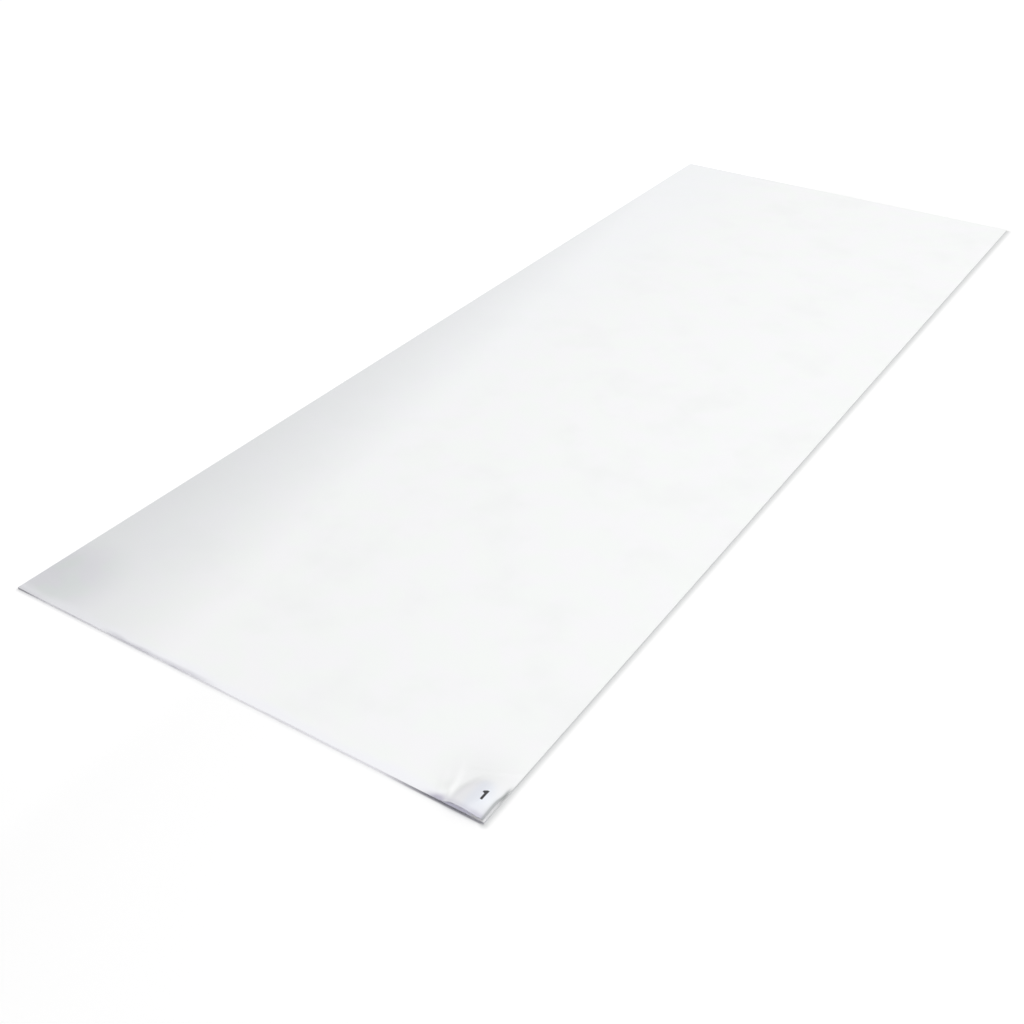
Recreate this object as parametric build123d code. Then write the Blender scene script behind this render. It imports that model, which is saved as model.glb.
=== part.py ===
from build123d import *
import math
import os

# A cleanroom sticky mat: a pad of numbered adhesive film sheets that are peeled off one by one.
# Each sheet is a thin polyethylene film with a sticky coat on its upper side, pressed onto the
# coat of the sheet below. The coat stops short of one corner, so there the sheets stay loose as
# tabs, and the tabs of the top sheets have buckled up off the pad. Under the sheets are a base
# sheet with the mounting adhesive and the release liner that covers it until the mat is laid.
# Millimetres. The origin is the middle of the underside, +X runs across the mat, +Y along it and
# +Z up. The tab corner is at the right of the front edge, at +X and -Y.

# Outline of the pad, which is cut through all its layers at once
pad_width = 450.0
pad_length = 1150.0

# Layers
sheet_count = 30
film_thickness = 0.040
coat_thickness = 0.015
base_film_thickness = 0.050
mounting_coat_thickness = 0.050
liner_thickness = 0.080

# Tab corner: how far the bare film reaches from the corner along the two edges
tab_across = 62.0
tab_along = 55.0

# Buckle of a loose tab, measured from the end of the coat towards the corner: where the film
# leaves the pad, where it is highest, and how tightly the film bends
foot_reach = 9.0
crest_reach = 23.0
film_bend_radius = 12.0

# How many tabs are loose, how high the top one stands, how much of that is left at its tip, and
# how fast the lower ones fall off
loose_tabs = 4
top_crest_rise = 4.4
tip_share = 0.4
rise_falloff = 1.5

# How far the sections stand past the pad before they are cut to its outline
cut_margin = 5.0

sheet_pitch = film_thickness + coat_thickness
base_thickness = base_film_thickness + mounting_coat_thickness
pad_diagonal = math.hypot(pad_width, pad_length)

# The coat ends on a straight line across the corner, and the tab's sections stand across it
coat_end_length = math.hypot(tab_across, tab_along)
tab_reach = tab_across * tab_along / coat_end_length
to_corner = Vector(tab_along, -tab_across) / coat_end_length
across_coat_end = Plane(
    origin=Vector(pad_width / 2, -pad_length / 2) - to_corner * tab_reach,
    x_dir=to_corner,
    z_dir=to_corner.cross(Vector(0, 0, 1)),
)


def sheet_bottom(number):
    """Height of a sheet's underside where it lies flat. Sheet 1 is the top one."""
    return liner_thickness + base_thickness + (sheet_count - number) * sheet_pitch


def crest_rise(number):
    """How far a tab stands off its flat sheet, which is most for sheet 1."""
    tabs_to_flat = max(loose_tabs + 1 - number, 0)
    return top_crest_rise * (tabs_to_flat / loose_tabs) ** rise_falloff


def tab_side(bottom, rise):
    """Section of one side of a tab, from the end of the coat to past the pad's corner."""
    tab_end = tab_reach + cut_margin
    if rise == 0:
        return Line((0, bottom), (tab_end, bottom))
    return FilletPolyline(
        (0, bottom),
        (foot_reach, bottom),
        (crest_reach, bottom + rise),
        (tab_end, bottom + rise * tip_share),
        radius=film_bend_radius,
    )


def sheet_section(number):
    """A sheet's whole section: coated up to the end of the coat, then the bare film of the tab."""
    bottom = sheet_bottom(number)
    film_top = bottom + film_thickness
    coat_top = film_top + coat_thickness
    coated = Polyline(
        (0, film_top),
        (0, coat_top),
        (-pad_diagonal, coat_top),
        (-pad_diagonal, bottom),
        (0, bottom),
    )
    under = tab_side(bottom, crest_rise(number))
    over = tab_side(film_top, crest_rise(number))
    return make_face([coated, under, Line(under @ 1, over @ 1), over])


def pad_block(bottom, top):
    """The pad's outline between two heights."""
    block = Box(pad_width, pad_length, top - bottom, align=(Align.CENTER, Align.CENTER, Align.MIN))
    return Pos(0, 0, bottom) * block


def film_sheet(number):
    """One numbered sheet, cut to the pad's outline."""
    bottom = sheet_bottom(number)
    strip = extrude(across_coat_end * sheet_section(number), amount=pad_diagonal, both=True)
    return strip & pad_block(bottom - cut_margin, bottom + crest_rise(number) + cut_margin)


def base_sheet():
    """The unnumbered film under the last sheet, with the mounting adhesive on its underside."""
    return pad_block(liner_thickness, liner_thickness + base_thickness)


def release_liner():
    """The liner that covers the mounting adhesive."""
    return pad_block(0, liner_thickness)


os.makedirs("parts", exist_ok=True)
for number in range(1, sheet_count + 1):
    export_step(film_sheet(number), f"parts/sheet_{number:02d}.step")
export_step(base_sheet(), "parts/base_sheet.step")
export_step(release_liner(), "parts/release_liner.step")
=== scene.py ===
import bpy
import math
import numpy as np
from mathutils import Matrix, Vector


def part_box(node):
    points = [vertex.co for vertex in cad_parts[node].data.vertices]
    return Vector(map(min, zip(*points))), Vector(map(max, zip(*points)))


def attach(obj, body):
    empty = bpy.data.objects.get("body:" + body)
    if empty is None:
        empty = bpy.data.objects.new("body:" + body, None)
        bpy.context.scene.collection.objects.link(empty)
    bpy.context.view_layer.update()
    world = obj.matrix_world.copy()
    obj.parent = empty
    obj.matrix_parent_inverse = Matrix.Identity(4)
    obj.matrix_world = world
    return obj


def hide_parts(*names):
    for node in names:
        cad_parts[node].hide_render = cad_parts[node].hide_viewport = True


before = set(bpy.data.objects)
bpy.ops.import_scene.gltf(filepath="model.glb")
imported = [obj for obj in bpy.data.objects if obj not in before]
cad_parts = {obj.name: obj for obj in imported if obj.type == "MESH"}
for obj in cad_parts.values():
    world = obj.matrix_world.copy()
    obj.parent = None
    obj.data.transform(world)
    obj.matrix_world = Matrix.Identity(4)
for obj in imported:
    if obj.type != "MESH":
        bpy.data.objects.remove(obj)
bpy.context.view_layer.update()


# Release liner: the lowest layer, a thin slippery plastic film, pressed against the mounting
# adhesive and cut with the pad. It is flat, so its solid stays and gets its finish here.

class Value:
    """A shader socket in Python sums: each operator adds the Math node that it names."""

    def __init__(self, nodes, socket):
        self.nodes, self.socket = nodes, socket

    def math(self, operation, *others):
        made = self.nodes.add("ShaderNodeMath", {"operation": operation}, [self, *others])
        return made.out(0)

    def __add__(self, other):
        return self.math("ADD", other)

    def __radd__(self, other):
        return self.math("ADD", other)

    def __sub__(self, other):
        return self.math("SUBTRACT", other)

    def __rsub__(self, other):
        return self.math("MULTIPLY_ADD", -1.0, other)

    def __mul__(self, other):
        return self.math("MULTIPLY", other)

    def __rmul__(self, other):
        return self.math("MULTIPLY", other)

    def between(self, low, high):
        """0 below low, 1 above high, and smooth from one to the other."""
        made = self.nodes.add(
            "ShaderNodeMapRange",
            {"interpolation_type": "SMOOTHSTEP"},
            {"Value": self, "From Min": low, "From Max": high},
        )
        return made.out("Result")


class Node:
    """One shader node; out() wraps one of its outputs for sums and links."""

    def __init__(self, nodes, node):
        self.nodes, self.node = nodes, node

    def out(self, name):
        return Value(self.nodes, self.node.outputs[name])


class Finish:
    """A material's nodes, which end in one Principled shader."""

    def __init__(self, name):
        self.material = bpy.data.materials.new(name)
        self.material.use_nodes = True
        self.tree = self.material.node_tree
        self.shader = self.tree.nodes["Principled BSDF"]

    def add(self, kind, settings=(), inputs=()):
        """Adds a node: its settings first, then the value or the link of each input."""
        node = self.tree.nodes.new(kind)
        for key, value in dict(settings).items():
            setattr(node, key, value)
        pairs = inputs.items() if isinstance(inputs, dict) else enumerate(inputs)
        for key, value in pairs:
            if isinstance(value, Value):
                self.tree.links.new(value.socket, node.inputs[key])
            else:
                node.inputs[key].default_value = value
        return Node(self, node)

    def shade(self, **inputs):
        """Sets or links the Principled shader's inputs; an underscore stands for a space."""
        for key, value in inputs.items():
            socket = self.shader.inputs[key.replace("_", " ")]
            if isinstance(value, Value):
                self.tree.links.new(value.socket, socket)
            else:
                socket.default_value = value

    def place(self):
        """Object coordinates, in metres, in the mat's own frame."""
        return self.add("ShaderNodeTexCoord").out("Object")

    def noise(self, place, scale, detail=2.0, roughness=0.5):
        """Soft random blotches, scale of them to a metre, from 0 to 1."""
        made = self.add(
            "ShaderNodeTexNoise",
            (),
            {"Vector": place, "Scale": scale, "Detail": detail, "Roughness": roughness},
        )
        return made.out(0)

    def blend(self, share, low, high):
        """The colour low where share is 0, high where it is 1."""
        made = self.add(
            "ShaderNodeMix",
            {"data_type": "RGBA"},
            {"Factor": share, 6: low, 7: high},
        )
        return made.out(2)

    def relief(self, height, depth):
        """Bends the normals as if the surface stood up by height times depth metres."""
        made = self.add(
            "ShaderNodeBump",
            (),
            {"Height": height, "Distance": depth, "Strength": 1.0},
        )
        return made.out("Normal")

    def facing(self):
        """Y and Z of the surface's normal in the mat's frame."""
        normal = self.add("ShaderNodeTexCoord").out("Normal")
        parts = self.add("ShaderNodeSeparateXYZ", (), [normal])
        return parts.out("Y"), parts.out("Z")

    def distance(self, place, centre):
        """How far place is from a fixed point, in metres."""
        apart = {"operation": "DISTANCE"}
        return self.add("ShaderNodeVectorMath", apart, [place, centre]).out("Value")


def dress(node, finish):
    """Gives a CAD node its finish."""
    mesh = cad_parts[node].data
    mesh.materials.clear()
    mesh.materials.append(finish.material)


liner_finish = Finish("liner_film")
liner_place = liner_finish.place()
liner_haze = liner_finish.noise(liner_place, 38.0, 3.0)
liner_finish.shade(
    Base_Color=liner_finish.blend(liner_haze, (0.74, 0.77, 0.8, 1), (0.82, 0.84, 0.86, 1)),
    Roughness=0.3 + liner_haze * 0.12,
    Normal=liner_finish.relief(liner_finish.noise(liner_place, 90.0, 2.0), 0.00008),
)
dress("release_liner", liner_finish)


# Base sheet: the unnumbered white film under the last sheet. The clear mounting adhesive on its
# underside is part of the same thin layer, and only its cut edge shows, greyer than the film.

base_finish = Finish("base_film")
base_place = base_finish.place()
base_cloud = base_finish.noise(base_place, 30.0, 2.0)
base_finish.shade(
    Base_Color=base_finish.blend(base_cloud, (0.6, 0.61, 0.66, 1), (0.68, 0.69, 0.73, 1)),
    Roughness=0.4 + base_cloud * 0.1,
)
dress("base_sheet", base_finish)


# Flat film sheets: white polyethylene film, blown thin, each with its clear adhesive coat, rolled
# onto the one below and cut together. Their cut edges have a violet cast; the paler grey of the
# front faces and the darker grey of the side faces are painted light and shade, set for how light
# falls on each, and from the middle leftwards the front faces have streaks of darker grey.

PAD_SIDE, PAD_END = 0.225, 0.575
FILM_WHITE = (0.897, 0.915, 0.903, 1)
FILM_LILAC = (0.905, 0.905, 0.916, 1)
FILM_CLOUD = (0.876, 0.886, 0.884, 1)
# Bluer and a little darker film towards the left edge: painted shade.
FILM_LEFT_SHADE = (0.885, 0.900, 0.922, 1)
# Grey-green and grey-lilac patch colours for the left corner: painted shade.
CORNER_SHADE_GREEN, CORNER_SHADE_LILAC = (0.785, 0.82, 0.82, 1), (0.80, 0.80, 0.84, 1)
# Colours of the band along the front edge: painted light on the left, painted shade on the right.
BAND_LEFT, BAND_RIGHT = (0.915, 0.92, 0.955, 1), (0.89, 0.893, 0.925, 1)
# Grey along the front edge, left of the middle: painted shade.
EDGE_DIP_SHADE = (0.60, 0.595, 0.65, 1)
# Cut edge greys: the paler front and darker side greys are painted light and shade; the darker
# front grey is for streaks.
CUT_FRONT = (0.92, 0.91, 0.95, 1)
CUT_FRONT_DARK = (0.74, 0.73, 0.79, 1)
CUT_SIDE = (0.75, 0.76, 0.76, 1)
# Nearly black cut edge at the left corner's tip and under the loose tabs: painted shadow.
CUT_SHADOW = (0.030, 0.025, 0.055, 1)


def film_finish(name):
    """White film with an adhesive gloss, cloudy in the sheet. It is bluer and a little darker to
    the left and grey in the left corner, both painted shade. Along the front edge a pale lilac
    strip is painted light on the left and painted shade on the right, and left of the middle a
    grey strip is painted shade. Its cut edge is grey with painted light and shade, paler on the
    front faces than on the side faces, and nearly black, painted shadow, at the tip of the left
    corner and where the tabs' bare films lie loose on each other at the front."""
    film = Finish(name)
    place = film.place()
    cloud = film.noise(place, 14.0, 3.0, 0.55)
    speckle = film.noise(place, 160.0, 2.0)
    tint = film.noise(place, 34.0, 2.0, 0.4)
    parts = film.add("ShaderNodeSeparateXYZ", (), [place])
    x, inset = parts.out("X"), parts.out("Y") + PAD_END
    # Mask of the grey strip along the front edge, left of the middle: painted shade.
    shade_inset = inset + film.noise(place, 45.0, 1.0) * 0.004
    front_dip_shade = x.between(-0.135, -0.105) * x.between(0.0, -0.04) + x.between(-0.185, -0.212) * 0.3
    front_dip_shade = front_dip_shade * shade_inset.between(0.0060, 0.0020)
    face = film.blend(tint.between(0.38, 0.62), FILM_WHITE, FILM_LILAC)
    face = film.blend(cloud.between(0.45, 0.75), face, FILM_CLOUD)
    # Towards the left the film turns bluer and a little darker: painted shade.
    face = film.blend(x.between(-0.06, -0.2) * 0.6, face, FILM_LEFT_SHADE)
    # A grey patch in the left corner: painted shade.
    corner = film.distance(place, (-0.206, -0.545, 0.0018))
    corner_shade = film.blend(tint.between(0.40, 0.60), CORNER_SHADE_GREEN, CORNER_SHADE_LILAC)
    face = film.blend(corner.between(0.062, 0.012) * 0.9, face, corner_shade)
    # Band along the front edge: painted light on the left, painted shade on the right.
    band = film.blend(x.between(-0.19, -0.02), BAND_LEFT, BAND_RIGHT)
    ripple = inset + film.noise(place, 16.0, 2.0) * 0.016
    face = film.blend(ripple.between(0.0190, 0.0100), face, band)
    face = film.blend(front_dip_shade * 0.75, face, EDGE_DIP_SHADE)
    along, upward = film.facing()
    upright = (upward * upward).between(0.3, 0.05)
    streak = film.noise(place, 26.0, 3.0, 0.7)
    front = (along * -1.0).between(0.2, 0.6)
    front_streaks = streak.between(0.35, 0.65) * x.between(0.01, -0.05)
    # Cut edges: paler grey on the front faces than on the side faces, painted light and shade.
    coated = film.blend(front_streaks, CUT_FRONT, CUT_FRONT_DARK)
    coated = film.blend(front, CUT_SIDE, coated)
    # Mask of the nearly black cut edge under the loose tabs and at the left corner's tip: painted
    # shadow.
    loose = x.between(0.131, 0.197) * (1 - x.between(0.203, 0.222) * 0.3)
    loose = (loose + x.between(-0.196, -0.222) * 0.6) * front
    film.shade(
        Base_Color=film.blend(upright, face, film.blend(loose, coated, CUT_SHADOW)),
        Roughness=0.3 + speckle * 0.1,
        Specular_IOR_Level=0.5,
        Coat_Weight=0.25,
        Coat_Roughness=0.22,
        Normal=film.relief(cloud + speckle * 0.05, 0.0004),
    )
    return film


flat_film = film_finish("pad_film")
sheets = sorted(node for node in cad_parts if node.startswith("sheet_"))
for node in sheets[4:]:
    dress(node, flat_film)


# Loose top sheets: the same film. Its tab corner has no adhesive, and the top tabs have buckled
# off the pad. Each is one closed film, worked out as a height over the pad's outline, and the
# bare film that stands free of the pad is coloured greyer and bluer, painted shade.

PAD_LOW, PAD_HIGH = (np.array(corner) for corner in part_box("release_liner"))
FILM, PITCH = 0.000040, 0.000055
SHEETS, LOOSE = 30, 4
TAB_ACROSS, TAB_ALONG = 0.062, 0.055
BUCKLE_ACROSS, BUCKLE_ALONG, BUCKLE_BULGE = 0.0345, 0.0295, 0.009
TOP_RISE, RISE_FALLOFF = 0.00415, 1.5
SIDE_DROP, FRONT_DROP, TIP_DROP = 0.46, 0.18, 0.12
TIP_SHIFT = 0.0017


def ease(t):
    """The smooth step 3t^2 - 2t^3, held at 0 below t = 0 and at 1 above t = 1."""
    t = np.clip(t, 0, 1)
    return t * t * (3 - 2 * t)


def hump(distance, width):
    """exp(-(distance / width)^2): 1 on the line, and nearly 0 two widths from it."""
    return np.exp(-((distance / width) ** 2))


def from_corner(x, y):
    """Distances in from the right edge and from the front edge, which meet at the tab corner."""
    return PAD_HIGH[0] - x, y - PAD_LOW[1]


def coated(x, y):
    """True where the film has its coat: short of the line from TAB_ACROSS to TAB_ALONG."""
    across, along = from_corner(x, y)
    return across / TAB_ACROSS + along / TAB_ALONG > 1


def buckle(x, y):
    """Share of its rise that a tab has: 0 outside the rounded box g = 1, where g^3 is
    (across / BUCKLE_ACROSS)^3 + (along / back)^3, and 1 well inside it. The box's back line
    lies BUCKLE_BULGE further back towards the side edge, where the film leaves the pad more
    slowly. The film drops by SIDE_DROP and FRONT_DROP at its two edges, and by TIP_DROP more
    at the tip between them."""
    across, along = from_corner(x, y)
    back = BUCKLE_ALONG + BUCKLE_BULGE * ease((0.0345 - across) / 0.013)
    wide, deep = np.maximum(across, 0) / BUCKLE_ACROSS, np.maximum(along, 0) / back
    g = np.cbrt(wide**3 + deep**3)
    back = back - 0.002 * hump(across, 0.010)
    run = 0.36 + 0.39 * hump(across, 0.010)
    tip = ease((0.0155 - np.hypot(across, along * 0.9)) / 0.0075)
    drop = (1 - SIDE_DROP * hump(across, 0.0085)) * (1 - TIP_DROP * tip)
    drop = drop * (1 - FRONT_DROP * hump(along, 0.006))
    return ease((1.02 - g) / run) * drop


def ridge(x, y):
    """Share of the long pucker: 1 along its crest, which runs from the buckle's front left,
    32 mm in from the side, away up the sheet, and leans out by 0.36 of its length. It widens
    as it runs, starts within 8 mm of the front edge and has faded out 46 mm from it."""
    across, along = from_corner(x, y)
    lean = across - 0.0322 - (along - 0.009) * 0.36
    length = ease((along - 0.001) / 0.007) * ease((0.046 - along) / 0.032)
    return hump(lean, 0.0021 + along * 0.04) * length


def puckers(x, y):
    """Height of the creases that run out of the buckle into the stuck film, in metres: the
    ridge, a fainter fold beside it, and a crease behind the buckle's back."""
    across, along = from_corner(x, y)
    beside = across - 0.0415 - (along - 0.009) * 0.40
    fold = 0.00030 * hump(beside, 0.0030) * ease((0.034 - along) / 0.024)
    back = along - 0.0405 + (across - 0.016) * 0.45
    crease = 0.00030 * hump(back, 0.0022) * ease(across / 0.006) * ease((0.040 - across) / 0.012)
    return 0.0008 * ridge(x, y) + fold + crease


def waves(x, y):
    """Height of the slack in the stuck film, in metres: ripples along the front edge that die
    out 20 mm in, and a slower swell over the whole sheet. It is never below 0."""
    across, along = from_corner(x, y)
    ripple = np.sin(across * 61 + 1.1) * np.sin(across * 23 + 0.4) + 1
    swell = np.sin(across * 19 + along * 7 + 0.6) * np.sin(along * 9 - across * 5 + 1.9) + 1
    return 0.00009 * ripple * hump(along, 0.012) + 0.00005 * swell


def spaced(low, high, fine_low, fine_high, coarse, fine):
    """Grid lines from low to high: fine apart near the ends, coarse apart between them."""
    middle = np.linspace(low + fine_low, high - fine_high, int((high - low) / coarse))
    ends = low + np.arange(0, fine_low, fine), high - np.arange(0, fine_high, fine)
    return np.unique(np.concatenate([*ends, middle]).round(7))


def closed_film(name, x, y, low, high):
    """A film between two heights on one grid: an upper skin, a lower skin and a rim between
    their borders, whose edges along the skins' borders are marked sharp."""
    rows, columns = x.shape
    index = np.arange(rows * columns).reshape(rows, columns)
    over = np.stack([x, y, high], -1).reshape(-1, 3)
    under = np.stack([x, y, low], -1).reshape(-1, 3)
    a, b, c, d = index[:-1, :-1], index[:-1, 1:], index[1:, 1:], index[1:, :-1]
    top = np.stack([a, b, c, d], -1).reshape(-1, 4)
    ring = np.concatenate([index[0, :-1], index[:-1, -1], index[-1, :0:-1], index[:0:-1, 0]])
    after, down = np.roll(ring, -1), rows * columns
    rim = np.stack([after, ring, ring + down, after + down], -1)
    faces = np.concatenate([top, top[:, ::-1] + down, rim])
    mesh = bpy.data.meshes.new(name)
    mesh.from_pydata(np.concatenate([over, under]).tolist(), [], faces.tolist())
    smooth = np.arange(len(faces)) < 2 * len(top)
    mesh.polygons.foreach_set("use_smooth", smooth)
    edges = np.empty(2 * len(mesh.edges), int)
    mesh.edges.foreach_get("vertices", edges)
    border = np.zeros(2 * down, bool)
    border[ring] = border[ring + down] = True
    sharp = mesh.attributes.new("sharp_edge", "BOOLEAN", "EDGE")
    sharp.data.foreach_set("value", border[edges.reshape(-1, 2)].all(-1))
    piece = bpy.data.objects.new(name, mesh)
    bpy.context.scene.collection.objects.link(piece)
    return piece


def sheet_bottom(number):
    """Height of a sheet's underside where it lies flat. Sheet 1 is the top one."""
    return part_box("base_sheet")[1][2] + (SHEETS - number) * PITCH


def rise(number):
    """How far a loose tab stands up, falling off down the pad as it does in the solids."""
    return TOP_RISE * ((LOOSE + 1 - number) / LOOSE) ** RISE_FALLOFF


def tab_finish(name):
    """The film's finish, with what the marks of the loose sheets add. On the top sheet: a greyer
    and, at the tip, a bluer film where it stands free of the pad, darker film round the puckers,
    and dark rims where the free film's edges roll over, all painted shade, and a bright ridge,
    painted
    highlight. On the sheets under it: a paler free film, painted light, and a soft dark rim at
    the side, painted shadow."""
    film = film_finish(name)
    mark = {
        kind: film.add("ShaderNodeAttribute", {"attribute_name": kind}).out("Fac")
        for kind in ("free", "tip", "pucker_shade", "ridge", "front_roll_shade", "side_roll_shade", "under")
    }
    tone = Value(film, film.shader.inputs["Base Color"].links[0].from_socket)
    # Darker film round the puckers: painted shade.
    tone = film.blend(mark["pucker_shade"], tone, (0.82, 0.83, 0.825, 1))
    tip = mark["tip"]
    # Greyer film where the top tab stands free of the pad, bluer at the tip: painted shade.
    free = film.blend(tip.between(0.0, 0.5), (0.75, 0.75, 0.77, 1), (0.71, 0.73, 0.79, 1))
    free = film.blend(tip.between(0.5, 1.0), free, (0.75, 0.78, 0.845, 1))
    tone = film.blend(mark["free"], tone, free)
    # Paler, lilac film on the sheets under the top tab: painted light.
    lower = film.blend(tip.between(0.6, 1.0), (0.90, 0.89, 0.99, 1), (0.93, 0.93, 0.945, 1))
    tone = film.blend(mark["under"], tone, lower)
    # Near-white film along the ridge: painted highlight.
    tone = film.blend(mark["ridge"], tone, (0.985, 0.99, 0.99, 1))
    # Dark violet rim where the free film's front edge rolls over: painted shade.
    tone = film.blend(mark["front_roll_shade"], tone, (0.44, 0.425, 0.52, 1))
    # Dark grey rim at the free film's side edge, and the gap under it on the sheets below:
    # painted shadow.
    tone = film.blend(mark["side_roll_shade"], tone, (0.28, 0.30, 0.30, 1))
    film.shade(Base_Color=tone)
    return film


loose_film = tab_finish("tab_film")
loose_pieces = {}
for number in range(LOOSE, 0, -1):
    fine = 0.0011 if number == 1 else 0.0026
    u = spaced(PAD_LOW[0], PAD_HIGH[0], 0.012, 0.066, 0.009, fine)
    v = spaced(PAD_LOW[1], PAD_HIGH[1], 0.066, 0.012, 0.014, fine)
    x, y = np.meshgrid(u, v)
    share = buckle(x, y)
    under = sheet_bottom(number) + rise(number) * share
    thick = np.where(coated(x, y), PITCH, FILM)
    if number == 1:
        under = under + puckers(x, y) + waves(x, y)
    shifted = x - TIP_SHIFT * share * (rise(number) / TOP_RISE) ** 2
    film = closed_film(f"loose_sheet_{number}", shifted, y, under, under + thick)
    across, along = from_corner(x, y)
    top = number == 1
    # centre and outside place the darker film round the puckers: painted shade.
    centre = np.hypot(across - 0.027, along - 0.031)
    outside = np.hypot(across - 0.0385, along - 0.013)
    # front, reach and turned place the dark rim along the free film's front edge: painted shade.
    front = 0.4 * ease(share * 1.5) * (1 + hump(across, 0.008))
    front = front + 1.1 * hump(across - 0.0365, np.where(across > 0.0365, 0.0080, 0.0055))
    reach = 0.0052 + 0.0026 * hump(across - 0.035, 0.0045)
    turned = 0.2 * ease((0.016 - along) / 0.013) * ease((0.0135 - across) / 0.006)
    # gap and side place the dark rim at the side edge and the gap's shadow below it: painted
    # shadow.
    gap = hump(along - 0.024, 0.005)
    side = hump(across - 0.0008 * (1 - gap), 0.0013) * (0.8 + 0.2 * gap)
    marks = {
        # free: greyer, bluer film where the tab stands clear of the pad, painted shade.
        "free": 0.9 * ease(share) ** 1.4 * top,
        "tip": np.clip((0.021 - across) / 0.0135, 0, 1),
        "pucker_shade": (0.65 * hump(centre, 0.023) + 0.7 * hump(outside, 0.0055)) * top,
        # ridge: a bright streak along the pucker's crest, painted highlight.
        "ridge": ridge(x, y) * (0.3 + 0.7 * hump(along - 0.0105, 0.0045)) * top,
        "front_roll_shade": np.minimum(ease(1 - along / reach) * front + turned, 0.9) * top,
        # under: paler film on the sheets below the top tab, painted light.
        "under": ease(share * 3) * (not top),
        "side_roll_shade": np.where(top, side, 0.5 * gap * ease((0.0045 - across) / 0.003))
        * ease(share * 5),
    }
    for mark, values in marks.items():
        kept = film.data.attributes.new(mark, "FLOAT", "POINT")
        kept.data.foreach_set("value", np.tile(values.ravel(), 2))
    film.data.materials.append(loose_film.material)
    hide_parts(sheets[number - 1])
    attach(film, "root")
    loose_pieces[number] = film


# Sheet number: a plain black 1 printed on the bare film of the top tab, upright as seen from
# the front edge. It is a thin layer of ink that lies on the film and bends with it.

NUMERAL_ACROSS, NUMERAL_ALONG, NUMERAL_TALL = 0.0095, 0.0124, 0.0087
STEM_HALF, INK = 0.00082, 0.00003
level = np.array([0.0, 0.62, 0.64, 0.78, 0.8, 1.0])
left = np.array([STEM_HALF, STEM_HALF, 0.0023, 0.0023, 0.0022, 0.0002])
up = np.unique(np.concatenate([np.linspace(0, 1, 24), level]))
along, share = np.meshgrid(up, np.linspace(0, 1, 7), indexing="ij")
edge = np.interp(along, level, left)
x = PAD_HIGH[0] - NUMERAL_ACROSS - edge + share * (edge + STEM_HALF)
y = PAD_LOW[1] + NUMERAL_ALONG + along * NUMERAL_TALL
rest = sheet_bottom(1) + FILM + rise(1) * buckle(x, y) + puckers(x, y) + waves(x, y)
numeral = closed_film(
    "printed_numeral", x - TIP_SHIFT * buckle(x, y), y, rest + 0.00001, rest + 0.00001 + INK
)
ink = Finish("black_ink")
ink_grain = ink.noise(ink.place(), 2500.0, 2.0)
ink.shade(
    Base_Color=ink.blend(ink_grain, (0.012, 0.012, 0.014, 1), (0.02, 0.02, 0.024, 1)),
    Roughness=0.4 + ink_grain * 0.2,
)
numeral.data.materials.append(ink.material)
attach(numeral, "root")


# Studio: a white floor that is fully white to the camera but keeps the mat's shadow, with the
# soft contact shadow of the mat's right and front edges painted on it, a white room, a low key
# from the right, a lower fill from the front, and a soft box overhead whose light a black flag
# takes off the mat's left edge. The flag is out of the camera's sight.

floor_mesh = bpy.data.meshes.new("floor")
floor_mesh.from_pydata([(-8, -8, 0), (8, -8, 0), (8, 8, 0), (-8, 8, 0)], [], [(0, 1, 2, 3)])
floor = bpy.data.objects.new("floor", floor_mesh)
bpy.context.scene.collection.objects.link(floor)
floor_finish = Finish("floor_white")
path = floor_finish.add("ShaderNodeLightPath")
seen = path.out("Is Camera Ray").math("MAXIMUM", path.out("Is Glossy Ray"))
spot = floor_finish.add("ShaderNodeSeparateXYZ", (), [floor_finish.place()])
to_left = spot.out("X").between(0.0, -0.26)
offset = floor_finish.distance(floor_finish.place(), (0.12, -0.1, 0.0))
FLOOR_GLOW, FAR_GLOW, NO_GLOW = (0.145, 0.145, 0.145, 1), (0.5, 0.5, 0.5, 1), (0.0, 0.0, 0.0, 1)
far = to_left.math("MAXIMUM", offset.between(0.7, 1.5))
lit = floor_finish.blend(far, FLOOR_GLOW, FAR_GLOW)
past_side = spot.out("X") - PAD_SIDE
past_end = spot.out("Y").math("ABSOLUTE") - PAD_END
past_front = -PAD_END - spot.out("Y")
spread = 0.0056 + spot.out("Y").between(-PAD_END, PAD_END) * 0.003
beside = past_side.between(-0.004, 0.0) * past_side.between(spread, -0.0005)
beside = beside * past_end.between(0.0045, 0.0)
before = past_front.between(-0.004, 0.0) * past_front.between(0.0050, -0.0005)
before = before * past_side.between(0.0045, 0.0) * spot.out("X").between(-0.2285, -0.2245)
deep = spot.out("X").between(0.135, 0.185) * past_side.between(0.002, -0.003)
deep = deep * past_front.between(-0.004, 0.0) * past_front.between(0.0018, 0.0)
lit = floor_finish.blend(before * 0.7, lit, FLOOR_GLOW)
lit = floor_finish.blend(deep, lit, NO_GLOW)
shaded = floor_finish.blend(before, (0.86, 0.86, 0.86, 1), (0.74, 0.74, 0.745, 1))
shaded = floor_finish.blend(deep, shaded, (0.34, 0.33, 0.37, 1))
floor_finish.shade(
    Base_Color=floor_finish.blend(beside, shaded, (0.55, 0.555, 0.555, 1)),
    Roughness=0.9,
    Specular_IOR_Level=0.0,
    Emission_Color=floor_finish.blend(seen, NO_GLOW, lit),
    Emission_Strength=1.0,
)
floor_mesh.materials.append(floor_finish.material)

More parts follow.
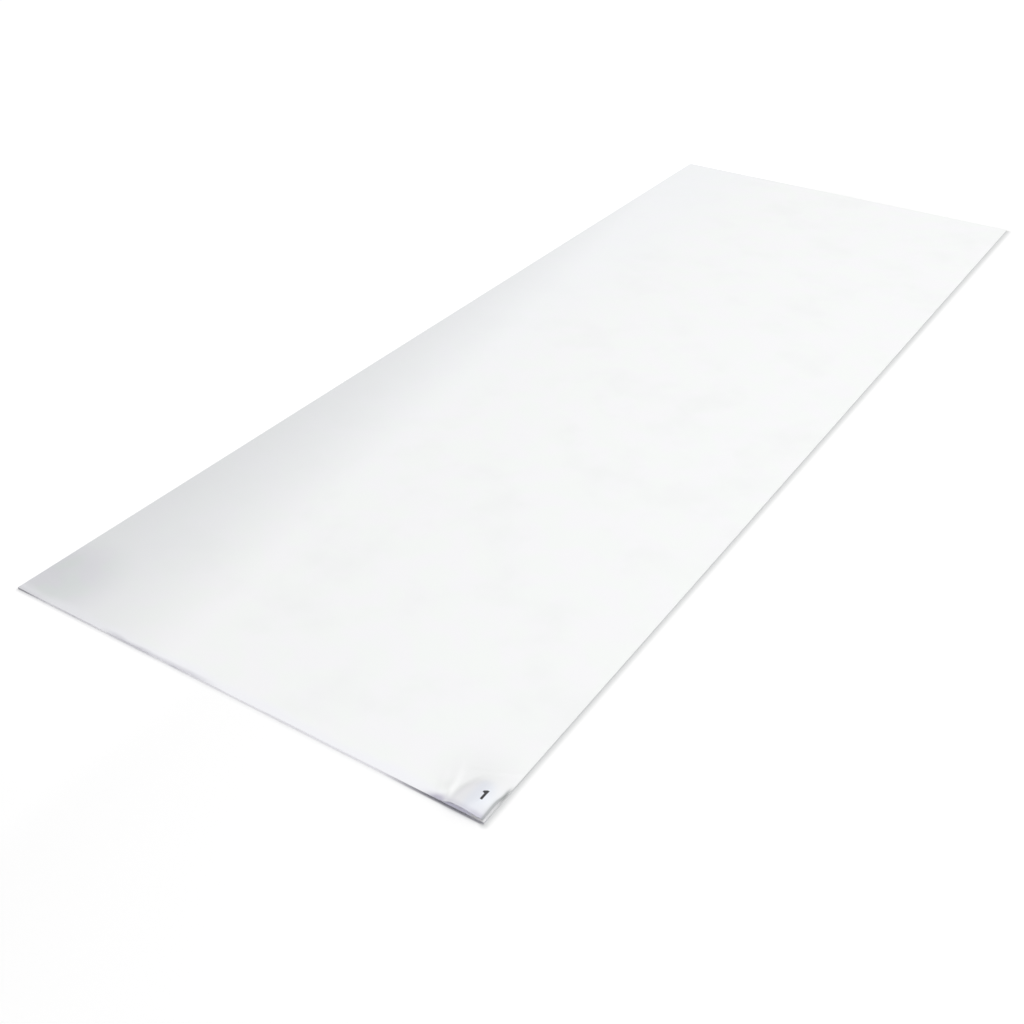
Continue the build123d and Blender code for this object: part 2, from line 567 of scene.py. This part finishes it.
world = bpy.data.worlds.new("studio")
bpy.context.scene.world = world
world.use_nodes = True
sky = world.node_tree
light_path = sky.nodes.new("ShaderNodeLightPath")
either = sky.nodes.new("ShaderNodeMath")
either.operation = "MAXIMUM"
strength = sky.nodes.new("ShaderNodeMapRange")
strength.inputs["To Min"].default_value = 0.61
strength.inputs["To Max"].default_value = 1.0
sky.links.new(light_path.outputs["Is Camera Ray"], either.inputs[0])
sky.links.new(light_path.outputs["Is Glossy Ray"], either.inputs[1])
sky.links.new(either.outputs[0], strength.inputs["Value"])
sky.links.new(strength.outputs["Result"], sky.nodes["Background"].inputs["Strength"])
sky.nodes["Background"].inputs["Color"].default_value = (1, 1, 1, 1)

key_light = bpy.data.lights.new("key", "SUN")
key_light.energy = 0.4
key_light.angle = math.radians(16)
key = bpy.data.objects.new("key", key_light)
key.rotation_euler = (math.radians(54), 0, math.radians(90 + 12))
bpy.context.scene.collection.objects.link(key)

fill_light = bpy.data.lights.new("front_fill", "SUN")
fill_light.energy = 0.6
fill_light.angle = math.radians(30)
fill = bpy.data.objects.new("front_fill", fill_light)
fill.rotation_euler = (math.radians(78), 0, math.radians(4))
bpy.context.scene.collection.objects.link(fill)

box_light = bpy.data.lights.new("soft_box", "AREA")
box_light.shape = "RECTANGLE"
box_light.size, box_light.size_y = 1.3, 2.8
box_light.energy = 23.7
soft_box = bpy.data.objects.new("soft_box", box_light)
soft_box.location = (0.53, 0.04, 2.414)
soft_box.rotation_euler = (0, 0, 0.15)
bpy.context.scene.collection.objects.link(soft_box)

FLAG_HEIGHT, FLAG_TURN, FLAG_OFF = 0.3176, 0.1455, -0.14
side = np.array([math.cos(FLAG_TURN), math.sin(FLAG_TURN)])
run = np.array([-side[1], side[0]]) * 2.5
corners = [side * FLAG_OFF - run, side * FLAG_OFF + run, side * -2.0 + run, side * -2.0 - run]
flag_mesh = bpy.data.meshes.new("flag")
flag_mesh.from_pydata(
    [(*corner.tolist(), FLAG_HEIGHT) for corner in corners], [], [(0, 1, 2, 3)]
)
flag = bpy.data.objects.new("flag", flag_mesh)
bpy.context.scene.collection.objects.link(flag)
for ray in ("camera", "diffuse", "glossy", "transmission", "volume_scatter"):
    setattr(flag, f"visible_{ray}", False)

camera = bpy.data.cameras.new("camera")
camera.sensor_width = 36.0
camera.lens = 44.665
camera.shift_x = -0.04689
camera.clip_start, camera.clip_end = 0.05, 50.0
viewer = bpy.data.objects.new("camera", camera)
TURNED, PITCHED, ROLLED = math.radians(32.165), math.radians(34.862), math.radians(0.173)
ahead = Vector(
    (
        -math.sin(TURNED) * math.cos(PITCHED),
        math.cos(TURNED) * math.cos(PITCHED),
        -math.sin(PITCHED),
    )
)
level_right = Vector((math.cos(TURNED), math.sin(TURNED), 0))
level_up = level_right.cross(ahead)
right = level_right * math.cos(ROLLED) + level_up * math.sin(ROLLED)
up = level_up * math.cos(ROLLED) - level_right * math.sin(ROLLED)
viewer.matrix_world = Matrix.LocRotScale(
    Vector((0.5587, -1.0156, 0.6265)), Matrix((right, up, -ahead)).transposed(), None
)
bpy.context.scene.collection.objects.link(viewer)
bpy.context.scene.camera = viewer
bpy.context.scene.view_settings.view_transform = "Standard"
